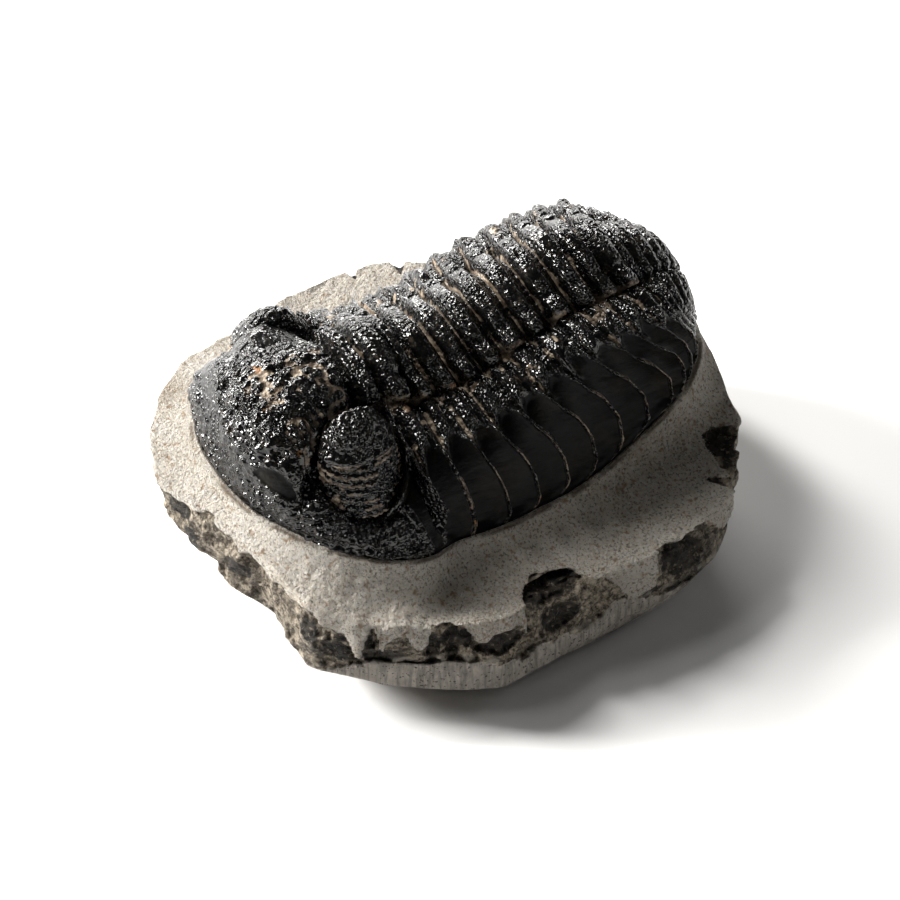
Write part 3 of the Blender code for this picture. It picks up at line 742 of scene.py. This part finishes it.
def body_piece(name, row, steps_across, material, worn_material):
    """A stretch of the shell, through the given rows, with its flat underside."""
    across = np.linspace(-1, 1, steps_across + 1)
    top, residue, worn = body_surface(*np.meshgrid(row, across, indexing="ij"))
    margin_s, margin_t, margin_z = smooth_back(swept_station(row, 1), np.ones_like(row)).T[..., None]
    under_share = np.linspace(UNDERSIDE_REACH, -UNDERSIDE_REACH, UNDERSIDE_COLUMNS)
    plain = np.zeros((len(row), UNDERSIDE_COLUMNS))
    under = np.stack((margin_s + plain, margin_t * under_share, margin_z - UNDERSIDE_DROP + plain), axis=-1)
    points = np.hstack((top, under))
    fields = {"residue": np.hstack((residue, plain)), "worn": np.hstack((worn, plain))}
    return make_piece(name, points, fields, material, worn_material=worn_material)


def eye_piece(name, side, length, flattening, material):
    """Compound eye: a lid with grains on top, and rows of lenses on the outer face."""
    share = np.linspace(0, 1, EYE_LEVELS)
    z_level = np.interp(share, np.linspace(0, 1, len(EYE_RINGS)), EYE_RINGS[:, 0])
    level = through_rows(EYE_RINGS, share * (len(EYE_RINGS) - 1))
    angle = np.linspace(0, 2 * math.pi, EYE_COLUMNS, endpoint=False)
    inner_side = np.clip(-np.cos(angle), 0, 1)
    s = EYE_MIDDLE_S + length * level[:, 2:3] * np.sin(angle)
    t = level[:, 1:2] + level[:, 3:4] * np.cos(angle) * (1 - flattening * inner_side)
    z = np.repeat(z_level[:, None], EYE_COLUMNS, axis=1)
    points = np.stack((s, t, z), axis=-1)

    level_normal = unit(np.stack((np.sin(angle) / 5, np.cos(angle) / 4, np.zeros(EYE_COLUMNS)), axis=-1))
    upward = rise(5, 10, z)[..., None]
    normal = level_normal * (1 - upward) + np.array((0, 0, 1)) * upward

    # Lenses in rows that bow with the face, every other row shifted by half a lens
    outer_face = rise(-0.35, 0, np.cos(angle))
    lens_field = outer_face * rise(-2.2, -1.6, z) * fall(5, 5.6, z)
    row_count = (z + LENS_BOW * np.cos(angle)) / LENS_ROW_PITCH
    row_phase = row_count % 1
    lens_phase = (angle * LENS_FACE_RADIUS / LENS_PITCH + 0.5 * (np.floor(row_count) % 2)) % 1
    lens = 1 - ((row_phase - 0.5) / 0.5) ** 2 - 0.75 * ((lens_phase - 0.5) / 0.5) ** 2
    lens = np.clip(lens, 0, 1) ** 0.7 * (0.75 + 0.35 * noise(points, 1.4, 325))
    ledge = 0.6 * band(z, 6, 0.8) * outer_face
    grain = rise(5.8, 6.6, z) * (0.45 * lumps(points, 0.95, 300) + 0.2 * ridges(points, 1.2, 310))
    height = lens_field * (LENS_RISE * lens + 0.2) + ledge + grain + 0.16 * rough(points, 1.1, 320)
    points = points + normal * height[..., None]
    points[..., 1] *= side

    # Brown stone under the lid, on the front of the face and along the rows of lenses
    residue = np.maximum.reduce((
        0.9 * band(z, 5.5, 0.35) * patches(points, 1.6, 330, -0.4, 0.4) * outer_face,
        rise(0.2, 0.8, -np.sin(angle)) * lens_field * patches(points, 1.1, 340, 0, 0.5) * 0.8,
        lens_field * band(row_phase, 0.5, 0.4) * patches(points, 2, 350, -0.6, 0.1) * 0.7,
    ))
    fields = {"residue": residue, "worn": np.zeros_like(residue)}
    return make_piece(name, points, fields, material, flip=side > 0)


# The slab

def fossil_outline(angle):
    """Distance from the slab's middle and height of the fossil's lower edge, in a direction round it."""
    stations = np.linspace(0, TAIL_TIP, 400)
    edge = smooth_back(stations, np.ones_like(stations))
    edge_angle = np.arctan2(edge[:, 0] - SLAB_MIDDLE_S, edge[:, 1])
    order = np.argsort(edge_angle)
    distance = np.hypot(edge[:, 0] - SLAB_MIDDLE_S, edge[:, 1])
    mirrored = np.arctan2(np.sin(angle), np.abs(np.cos(angle)))
    return [np.interp(mirrored, edge_angle[order], values[order]) for values in (distance, edge[:, 2])]


def rim_at(angle):
    """Radius, height, foot overhang, foot height and base inset of the rim, in a direction round it."""
    rim_angle = np.arctan2(RIM[:, 1] - SLAB_MIDDLE_S, RIM[:, 0])
    radius = np.hypot(RIM[:, 1] - SLAB_MIDDLE_S, RIM[:, 0])
    return [np.interp(angle, rim_angle, values, period=2 * math.pi) for values in (radius, *RIM[:, 2:].T)]


def slab_profile(angle):
    """Radius and height of the slab's surface from the middle of its top to the middle of its base, and the
    distance along it from the edge of the rim, negative on top."""
    fossil_radius, fossil_height = fossil_outline(angle)
    rim_radius, rim_height, foot_reach, foot_height, inset = rim_at(angle)
    lip_height = fossil_height + LIP
    ledge = fossil_radius + LIP + LEDGE_WIDTH
    ledge_height = lip_height - LEDGE_FALL
    shelf_start = ledge + GROOVE_WIDTH
    start_height = ledge_height - GROOVE_DEPTH
    level = np.zeros_like(angle)

    # Rings from the middle outward, each with its radius, its height and the rows that lead to it
    rings = [
        (level, level + BED_HEIGHT, 1),
        (fossil_radius * 0.8, fossil_height - 0.6, 4),
        (fossil_radius - 0.5, fossil_height - 0.2, 4),
        (fossil_radius + LIP, lip_height, 4),
        (ledge, ledge_height, 4),
        (shelf_start, start_height, 3),
    ]
    shelf_width = rim_radius - shelf_start
    hollow = HOLLOW_DEPTH * rise(3, 9, shelf_width)
    for share in np.arange(1, SHELF_RINGS) / SHELF_RINGS:
        gap = shelf_width * share
        dropped = 1 - np.exp(-gap / HOLLOW_REACH)
        bowl = hollow * dropped * (1 - share) ** 0.8
        rings.append((shelf_start + gap, start_height - (start_height - rim_height) * dropped - bowl, 3))
    rings.append((rim_radius, rim_height, 9))
    rim_row = sum(steps for _, _, steps in rings[1:])
    band_height = rim_height - 0.55 * (rim_height - foot_height)
    foot_radius = rim_radius + foot_reach
    base_radius = rim_radius - inset
    rings += [
        (rim_radius + 0.45 * foot_reach + 0.3, (rim_height + band_height) / 2, 12),
        (rim_radius + 0.8 * foot_reach + 0.1, band_height, 15),
        (foot_radius, foot_height, 8),
        (foot_radius - 0.35 * (inset + foot_reach), foot_height * 0.55 + SLAB_BOTTOM * 0.45, 8),
        (base_radius, level + SLAB_BOTTOM + 0.05, 5),
        (base_radius * 0.9, level + SLAB_BOTTOM, 2),
        (base_radius * 0.05, level + SLAB_BOTTOM, 3),
    ]

    rows = []
    for (radius, height, _), (next_radius, next_height, steps) in zip(rings, rings[1:]):
        for share in np.arange(steps) / steps:
            rows.append((radius + (next_radius - radius) * share, height + (next_height - height) * share))
    rows.append(rings[-1][:2])
    radii, heights = np.moveaxis(np.array(rows), 1, 0)
    walked = np.cumsum(np.hypot(np.diff(radii, axis=0), np.diff(heights, axis=0)), axis=0)
    walked = np.vstack((np.zeros_like(angle), walked))
    return radii, heights, walked - walked[rim_row]


def slab_piece(material):
    """Limestone slab: tooled top with a ledge round the fossil, broken rim and ground wall."""
    angle = np.linspace(-math.pi, math.pi, SLAB_COLUMNS, endpoint=False)
    radius, height, along = slab_profile(angle)
    radius[0] = HUB_RADIUS
    points = np.stack((SLAB_MIDDLE_S + radius * np.sin(angle), radius * np.cos(angle), height), axis=-1)
    rim_radius = rim_at(angle)[0]
    degrees = np.broadcast_to(np.degrees(angle), height.shape)

    to_fossil = radius - fossil_outline(angle)[0]
    outside = rise(-1.5, 0.5, along)
    off_base = rise(SLAB_BOTTOM, SLAB_BOTTOM + 0.8, height)
    toward, *ends = ROCK_BAND.T
    rock_start, rock_end = [np.interp(degrees, toward, values, period=360) for values in ends]
    ragged = 0.4 * noise(points, 1.7, 402) + 0.25 * noise(points, 0.7, 405)
    above_wall = fall(-0.1, 0.15, along - rock_end + 0.6 * ragged)
    tooled = rise(-0.2, 0.3, to_fossil) * above_wall
    broken = rise(-0.1, 0.15, along - rock_start + ragged) * above_wall * off_base

    # Scoops and crags of the broken rock, paler on the face that looks to the front
    depth = 0.45 * broken * rise(0, 0.8, along - rock_start)
    face = band(degrees, -78, 26)
    dark = 0.05 + 0.65 * rise(-0.1, 0.45, rough(points, 2.6, 406)) * (1 - 0.5 * face)
    for middle, down, half_width, half_height, deep in SCOOPS:
        sideways = np.radians((degrees - middle + 180) % 360 - 180) * rim_radius
        reach = np.hypot(sideways / half_width, (along - down) / half_height)
        within = broken * fall(0.7, 1.1, reach + ragged / min(half_width, half_height))
        dark = np.maximum(dark, within)
        depth = np.maximum(depth, deep * within)
    crags = 1.3 * np.abs(noise(points * np.array((1, 1, 0.55)), 2.2, 410))
    crags = crags + 0.6 * np.abs(noise(points, 0.9, 411))
    depth = depth + broken * (crags - 0.35)

    # Uneven edge, finely tooled top and the smoother ground wall
    waves = 0.55 * noise(points * np.array((1, 1, 0.3)), 4.5, 420)
    waves = waves + 0.3 * noise(points * np.array((1, 1, 0.4)), 1.9, 421)
    waves = waves * outside * off_base * (1 - 0.6 * (1 - above_wall))
    tooling = tooled * (1 - broken) * (0.22 * rough(points, 3, 430) + 0.16 * rough(points, 0.8, 431))

    level_out = np.stack((np.sin(angle), np.cos(angle), np.zeros_like(angle)), axis=-1)
    inward = unit(-level_out - np.array((0, 0, ROCK_DOWNWARD)))
    points = points + inward * depth[..., None] + level_out * (waves + 0.6 * tooling * outside)[..., None]
    points[..., 2] = np.maximum(points[..., 2] + tooling, SLAB_BOTTOM)

    chipped = band(along - rock_end, -0.5, 0.8) * patches(points, 1.2, 450, -0.1, 0.4) * (1 - face)
    on_ledge = band(to_fossil, 0.7, 0.5) * patches(points, 3, 460, -0.5, 0.3)
    fields = {"broken": broken, "dark": dark, "tooled": tooled, "chipped": chipped * broken,
              "ledge": on_ledge}
    return make_piece("limestone_slab", points, fields, material, flip=True)


# Materials

class Nodes:
    """Adds and links the nodes of one material."""

    def __init__(self, name):
        self.material = bpy.data.materials.new(name)
        self.material.use_nodes = True
        self.tree = self.material.node_tree
        self.shader = self.tree.nodes["Principled BSDF"]
        self.place = self.node("ShaderNodeTexCoord", {}, "Object")

    def node(self, kind, inputs, output, **settings):
        """Output of a new node with the given inputs and settings."""
        node = self.tree.nodes.new(kind)
        for name, value in settings.items():
            setattr(node, name, value)
        for name, value in inputs.items():
            self.link(value, node.inputs[name])
        return node.outputs[output]

    def link(self, value, socket):
        """Give a socket another node's output, a number, or a colour as red, green and blue."""
        if isinstance(value, bpy.types.NodeSocket):
            self.tree.links.new(value, socket)
        elif socket.type == "RGBA":
            socket.default_value = (*value, 1.0)
        else:
            socket.default_value = value

    def field(self, name):
        return self.node("ShaderNodeAttribute", {}, "Fac", attribute_name=name)

    def mapped(self, scale, degrees=0):
        """Coordinates turned about the upright axis and scaled along the three axes."""
        inputs = {"Vector": self.place, "Rotation": (0.0, 0.0, math.radians(degrees)), "Scale": scale}
        return self.node("ShaderNodeMapping", inputs, "Vector")

    def noise(self, scale, detail=4, roughness=0.6, where=None):
        inputs = {"Vector": where or self.place, "Scale": scale, "Detail": detail, "Roughness": roughness}
        return self.node("ShaderNodeTexNoise", inputs, "Fac")

    def cells(self, scale):
        """Distance to the nearest of many scattered points."""
        return self.node("ShaderNodeTexVoronoi", {"Vector": self.place, "Scale": scale}, "Distance")

    def spread(self, value, low, high, to_low=0, to_high=1):
        """A value's range from low to high, spread over another range."""
        inputs = {"Value": value, "From Min": low, "From Max": high, "To Min": to_low, "To Max": to_high}
        return self.node("ShaderNodeMapRange", inputs, "Result")

    def patches(self, low, high, *recipe):
        """Patches of noise with the given scale, detail and roughness: 0 under low and 1 over high."""
        return self.spread(self.noise(*recipe), low, high)

    def calc(self, operation, *values):
        return self.node("ShaderNodeMath", dict(enumerate(values)), 0, operation=operation)

    def plus(self, first, second):
        return self.calc("ADD", first, second)

    def times(self, first, second):
        return self.calc("MULTIPLY", first, second)

    def swing(self, value, strength):
        """A value from 0 to 1 as a swing of that strength, half of it to each side of 0."""
        return self.calc("MULTIPLY_ADD", value, strength, -0.5 * strength)

    def mix(self, share, first, second):
        return self.node("ShaderNodeMix", {"Factor": share, 6: first, 7: second}, 2, data_type="RGBA")

    def mottled(self, colours, low, high, *recipe):
        """Two colours in patches of noise."""
        return self.mix(self.patches(low, high, *recipe), *colours)

    def tint(self, base, over, where, most):
        """A colour laid over the base where a share says so, at most at the strength given."""
        return self.mix(self.times(where, most), base, over)

    def bump(self, height, distance, strength=1, **under):
        inputs = {"Height": height, "Distance": distance, "Strength": strength, **under}
        return self.node("ShaderNodeBump", inputs, "Normal")

    def surface(self, colour, roughness, specular, **more):
        """The material, once its shader has these inputs."""
        inputs = {"Base Color": colour, "Roughness": roughness, "Specular IOR Level": specular, **more}
        for name, value in inputs.items():
            self.link(value, self.shader.inputs[name])
        return self.material


def brown_stone(n, black):
    """Black shell under brown stone where the residue field says so: colour and amount of stone."""
    brown = n.mottled(BROWNS, 0.4, 0.62, 500, 3)
    brown = n.tint(brown, RUST, n.patches(0.62, 0.68, 170, 2), 0.8)
    ragged = n.swing(n.noise(1700, 5, 0.7), 1.6)
    amount = n.spread(n.plus(n.field("residue"), ragged), 0.34, 0.66)
    return n.mix(amount, black, brown), amount


def shell_material():
    """Glossy black grainy shell with brown stone in its furrows; half worn places carry a grey film, partly
    dust and partly painted sheen.
    """
    n = Nodes("black_shell")
    black = n.mottled(SHELL_BLACKS, 0.35, 0.7, 240, 3)
    black = n.tint(black, DUST, n.patches(0.53, 0.7, 1100, 5, 0.7), 0.4)
    # Grey film where the shell is half worn, partly dust and partly painted sheen; the shell is also rougher
    # there
    film_and_sheen = n.times(n.spread(n.field("worn"), 0.05, 0.45), n.patches(0.3, 0.6, 800, 4, 0.7))
    black = n.tint(black, GREY_FILM_AND_SHEEN, film_and_sheen, 0.2)
    whole, amount = brown_stone(n, black)
    gloss = n.spread(n.noise(700, 4), 0.38, 0.62, 0.05, 0.18)
    gloss = n.plus(gloss, n.times(n.calc("MAXIMUM", amount, film_and_sheen), 0.35))
    grain = n.calc("MULTIPLY_ADD", n.cells(1900), -0.9, n.noise(1250, 2, 0.55))
    grain = n.times(grain, n.spread(n.noise(300, 2), 0.4, 0.62, 0.15, 1))
    coarse = n.bump(grain, SHELL_BUMP)
    fine = n.bump(n.noise(2600, 1, 0.5), FINE_SHELL_BUMP, Normal=coarse)
    return n.surface(whole, gloss, 0.5, Normal=fine)


def worn_shell_material():
    """Shell worn smooth: duller and darker, mottled, with fine scratches."""
    n = Nodes("worn_shell")
    black = n.mottled(WORN_BLACKS, 0.35, 0.65, 350, 4)
    black = n.tint(black, OLIVE, n.patches(0.52, 0.66, 260, 3, 0.6), 0.6)
    whole, amount = brown_stone(n, black)
    gloss = n.plus(n.spread(n.noise(500, 3), 0.35, 0.65, 0.28, 0.42), n.times(amount, 0.4))
    scratches = n.noise(1100, 4, 0.7, n.mapped((1, 0.25, 1), 35))
    return n.surface(whole, gloss, 0.09, Normal=n.bump(scratches, SCRATCH_BUMP, 0.8))


def tooled_colour(n, strokes):
    """Pale limestone of the top: cream with dark and amber grains in the tool strokes, and faint stains."""
    cream = n.mottled(CREAMS, 0.35, 0.65, 90, 4)
    cream = n.mix(n.patches(0.42, 0.66, 1500, 4, 0.7), cream, CHALK)
    grains = n.plus(n.noise(2800, 3, 0.75), n.swing(strokes, -0.25))
    cream = n.tint(cream, DARK_GRAIN, n.spread(grains, 0.52, 0.63), 0.75)
    cream = n.tint(cream, AMBER, n.patches(0.6, 0.7, 1100, 2, 0.5), 0.75)
    cream = n.tint(cream, STAIN, n.patches(0.58, 0.72, 60, 3, 0.6), 0.4)
    return n.tint(cream, LEDGE_BROWN, n.field("ledge"), 0.9)


def wall_colour(n, upright):
    """Ground limestone of the wall: darker, with fine upright streaks."""
    wall = n.mottled(WALL_GREYS, 0.35, 0.7, 500, 4)
    wall = n.tint(wall, STREAK_GREY, n.patches(0.45, 0.62, 1600, 3, 0.6, upright), 0.6)
    return n.mix(n.patches(0.6, 0.68, 2200, 2), wall, WALL_PIT)


def rock_colour(n):
    """Broken rock: brown and speckled, nearly black in the scoops."""
    brown = n.mottled(ROCK_BROWNS, 0.43, 0.6, 1100, 5, 0.75)
    black = n.mottled(SCOOP_BLACKS, 0.4, 0.62, 800, 5, 0.75)
    darker = n.plus(n.field("dark"), n.swing(n.noise(900, 5, 0.75), 2))
    rock = n.mix(n.spread(darker, 0.3, 0.75), brown, black)
    rock = n.mix(n.patches(0.59, 0.68, 1500, 3, 0.6), rock, SPECKLE)
    return n.tint(rock, CHIP, n.field("chipped"), 0.85)


def limestone_material():
    """Pale limestone with fine tool strokes on top, dark broken rock at the rim and a ground wall."""
    n = Nodes("limestone")
    upright = n.mapped((1, 1, 0.12))
    tooled = n.field("tooled")
    turned = [n.mapped((1, 0.35, 1), degrees) for degrees in STROKE_DIRECTIONS]
    first, second, third = [n.noise(2000, 2, 0.6, where) for where in turned]
    which = n.noise(700, 1)
    strokes = n.mix(n.spread(which, 0.42, 0.48), first, second)
    strokes = n.mix(n.spread(which, 0.52, 0.58), strokes, third)
    pale = n.mix(tooled, wall_colour(n, upright), tooled_colour(n, strokes))
    rocky = n.spread(n.plus(n.field("broken"), n.swing(n.noise(1100, 4, 0.7), 1)), 0.4, 0.6)
    whole = n.mix(rocky, pale, rock_colour(n))

    dull = n.spread(n.noise(1900, 2), 0.5, 0.62, 0.9, 0.6)
    glinting = n.spread(n.noise(1500, 3), 0.58, 0.68, 0.6, 0.2)
    gloss = n.plus(n.times(dull, n.calc("SUBTRACT", 1, rocky)), n.times(glinting, rocky))

    strokes = n.mix(tooled, n.noise(1600, 3, 0.6, upright), strokes)
    relief = n.calc("MULTIPLY_ADD", strokes, 0.7, n.times(n.noise(2000, 4, 0.8), 2.6))
    relief = n.times(relief, n.spread(tooled, 0, 1, 0.5, 1))
    relief = n.plus(relief, n.times(n.cells(1100), n.times(rocky, 2.6)))
    return n.surface(whole, gloss, 0.35, Normal=n.bump(relief, STONE_BUMP))


def floor_material():
    n = Nodes("pale_floor")
    return n.surface(n.mottled(FLOOR_WHITES, 0.3, 0.7, 3, 2), 0.95, 0)


# Camera, light and floor

def set_up(thing, target, azimuth, elevation, distance):
    """Put a thing at that azimuth and elevation in degrees from the target, turned to face it."""
    a, e = math.radians(azimuth), math.radians(elevation)
    away = Vector((math.sin(a) * math.cos(e), -math.cos(a) * math.cos(e), math.sin(e)))
    thing.location = target + away * distance
    thing.rotation_euler = (target - thing.location).to_track_quat("-Z", "Y").to_euler()


def add_camera():
    """Camera at the photograph's angle, and the point it looks at."""
    t, s, z = CAMERA_AIM
    target = Vector(place(s, t, z).tolist())
    lens = bpy.data.cameras.new("camera")
    lens.lens = CAMERA_LENS
    camera = new_object("camera", lens)
    set_up(camera, target, CAMERA_AZIMUTH, CAMERA_ELEVATION, CAMERA_DISTANCE)
    bpy.context.scene.camera = camera
    return target


def add_lighting(target):
    world = bpy.data.worlds.new("studio")
    world.use_nodes = True
    background = world.node_tree.nodes["Background"]
    background.inputs["Color"].default_value = (1.0, 1.0, 1.0, 1.0)
    background.inputs["Strength"].default_value = WORLD_STRENGTH
    bpy.context.scene.world = world
    for name, azimuth, elevation, width, height, power in LAMPS:
        lamp = bpy.data.lights.new(name, "AREA")
        lamp.shape = "RECTANGLE"
        lamp.size = width
        lamp.size_y = height
        lamp.energy = power
        lamp.color = LAMP_COLOUR
        set_up(new_object(name, lamp), target, azimuth, elevation, LAMP_DISTANCE)


def add_floor():
    mesh = bpy.data.meshes.new("floor")
    corners = [(x * FLOOR_HALF, y * FLOOR_HALF, 0.0) for x, y in ((-1, -1), (1, -1), (1, 1), (-1, 1))]
    mesh.from_pydata(corners, [], [(0, 1, 2, 3)])
    mesh.materials.append(floor_material())
    floor = new_object("floor", mesh)


def main():
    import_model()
    shell = shell_material()
    stone = limestone_material()
    worn_shell = worn_shell_material()

    head_rows = np.linspace(END_INSET, FIRST_JOINT, HEAD_ROWS)
    tail_rows = np.linspace(LAST_JOINT, TAIL_TIP - END_INSET, TAIL_ROWS)
    fossil = [
        body_piece("head_shield", head_rows, HEAD_COLUMNS, shell, worn_shell),
        body_piece("thorax", thorax_rows(), THORAX_COLUMNS, shell, worn_shell),
        body_piece("tail_shield", tail_rows, TAIL_COLUMNS, shell, worn_shell),
    ]
    fossil += [eye_piece(name, *shape, shell) for name, *shape in EYES]
    for piece in fossil:
        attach(piece, "root")
        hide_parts("trilobite")
    slab = slab_piece(stone)
    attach(slab, "root")
    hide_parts("matrix")

    add_floor()
    target = add_camera()
    add_lighting(target)
    bpy.context.scene.view_settings.view_transform = "Standard"


main()
